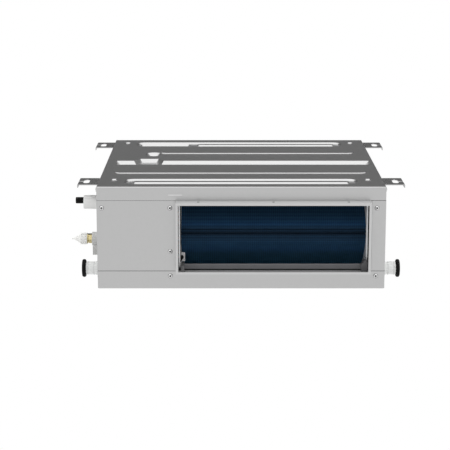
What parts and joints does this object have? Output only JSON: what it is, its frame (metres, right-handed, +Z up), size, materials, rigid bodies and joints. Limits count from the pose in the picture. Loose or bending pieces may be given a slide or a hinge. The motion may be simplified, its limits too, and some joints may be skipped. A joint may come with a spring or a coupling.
{
  "type": "air conditioner indoor unit",
  "caption": "Concealed ceiling duct unit: galvanised case with hanger brackets, fin coil behind a discharge collar, fans, lift pump, drains and flare connections.",
  "frame": {"origin": "centre of the underside of the case", "axes": "+Z up, -Y out of the discharge collar, +X to the right seen from the discharge side"},
  "size_m": [0.8233, 0.7466, 0.2543],
  "materials": {
    "galvanised": "galvanised, dull",
    "bracket_steel": "galvanised, dull",
    "zinc_screws": "bright zinc",
    "insulation_foam": "closed-cell foam",
    "pan_plastic": "dark grey, matt",
    "clip_plastic": "dark grey, matt",
    "spigot_plastic": "translucent white",
    "black_rubber": "matt black",
    "blue_fins": "blue coated fins",
    "coil_plate_steel": "galvanised",
    "copper": "copper tube",
    "brass": "machined",
    "cap_white": "white transport cap",
    "cap_black": "black",
    "plate_grey": "grey",
    "pump_white": "white",
    "riser_hose": "pale hose",
    "stem_plastic": "grey",
    "scroll_plastic": "dark moulded",
    "wheel_plastic": "pale moulded",
    "motor_paint": "dark paint",
    "shaft_steel": "ground",
    "board_green": "circuit board",
    "capacitor_shell": "white shell",
    "gland_plastic": "black",
    "rail_steel": "galvanised",
    "filter_plastic": "dark frame",
    "filter_net": "woven net"
  },
  "bodies": {
    "casing": {"top_panel": "galvanised", "bottom_tray": "galvanised", "left_side_panel": "galvanised", "right_side_panel": "galvanised", "front_access_panel": "galvanised", "rear_panel": "galvanised", "outlet_collar": "galvanised", "fan_deck": "galvanised", "service_partition": "galvanised", "pump_shelf": "galvanised", "control_box": "galvanised", "control_cover": "galvanised", "hanger_brackets_left": "bracket_steel", "hanger_brackets_right": "bracket_steel", "casing_screws": "zinc_screws", "lid_liner": "insulation_foam", "pan_insulation": "insulation_foam", "drain_pan": "pan_plastic", "pan_clips": "clip_plastic", "drain_spigot_left": "spigot_plastic", "drain_spigot_right": "spigot_plastic", "motor_rubber_rings": "black_rubber", "coil_fins_upper": "blue_fins", "coil_fins_lower": "blue_fins", "coil_end_plate_left": "coil_plate_steel", "coil_end_plate_right": "coil_plate_steel", "coil_tubes": "copper", "gas_line": "copper", "liquid_line": "copper", "gas_union": "brass", "liquid_union": "brass", "expansion_valve": "brass", "valve_actuator": "cap_black", "pipe_plate": "plate_grey", "drain_pump": "pump_white", "pump_outlet": "pump_white", "pump_riser": "riser_hose", "float_stem": "stem_plastic", "scroll_left_lower": "scroll_plastic", "scroll_left_upper": "scroll_plastic", "scroll_right_lower": "scroll_plastic", "scroll_right_upper": "scroll_plastic", "fan_motor": "motor_paint", "motor_cradle": "motor_paint", "motor_straps": "motor_paint", "control_board": "board_green", "run_capacitor": "capacitor_shell", "cable_glands": "gland_plastic", "filter_rails": "rail_steel"},
    "rotor": {"motor_shaft": "shaft_steel", "blower_wheel_left": "wheel_plastic", "blower_wheel_right": "wheel_plastic"},
    "filter": {"filter_frame": "filter_plastic", "filter_mesh": "filter_net"},
    "drain_plug_left": {"drain_plug_left": "black_rubber"},
    "drain_plug_right": {"drain_plug_right": "black_rubber"},
    "pump_stopper": {"pump_stopper": "black_rubber"},
    "gas_cap": {"gas_cap": "cap_white"},
    "liquid_cap": {"liquid_cap": "cap_black"},
    "float": {"float": "pump_white"}
  },
  "joints": [
    {"name": "rotor_spin", "type": "hinge", "parent": "casing", "child": "rotor", "pos_m": [0.0925, 0.05, 0.12], "axis": [1, 0, 0], "continuous": true},
    {"name": "filter_pull", "type": "slide", "parent": "casing", "child": "filter", "axis": [1, 0, 0], "range_m": [0, 0.47]},
    {"name": "drain_plug_left_pull", "type": "slide", "parent": "casing", "child": "drain_plug_left", "axis": [-1, 0, 0], "range_m": [0, 0.06]},
    {"name": "drain_plug_right_pull", "type": "slide", "parent": "casing", "child": "drain_plug_right", "axis": [1, 0, 0], "range_m": [0, 0.06]},
    {"name": "pump_stopper_pull", "type": "slide", "parent": "casing", "child": "pump_stopper", "axis": [-1, 0, 0], "range_m": [0, 0.05]},
    {"name": "gas_cap_pull", "type": "slide", "parent": "casing", "child": "gas_cap", "axis": [-1, 0, 0], "range_m": [0, 0.06]},
    {"name": "liquid_cap_pull", "type": "slide", "parent": "casing", "child": "liquid_cap", "axis": [-1, 0, 0], "range_m": [0, 0.04]},
    {"name": "float_rise", "type": "slide", "parent": "casing", "child": "float", "axis": [0, 0, 1], "range_m": [0, 0.014]}
  ]
}
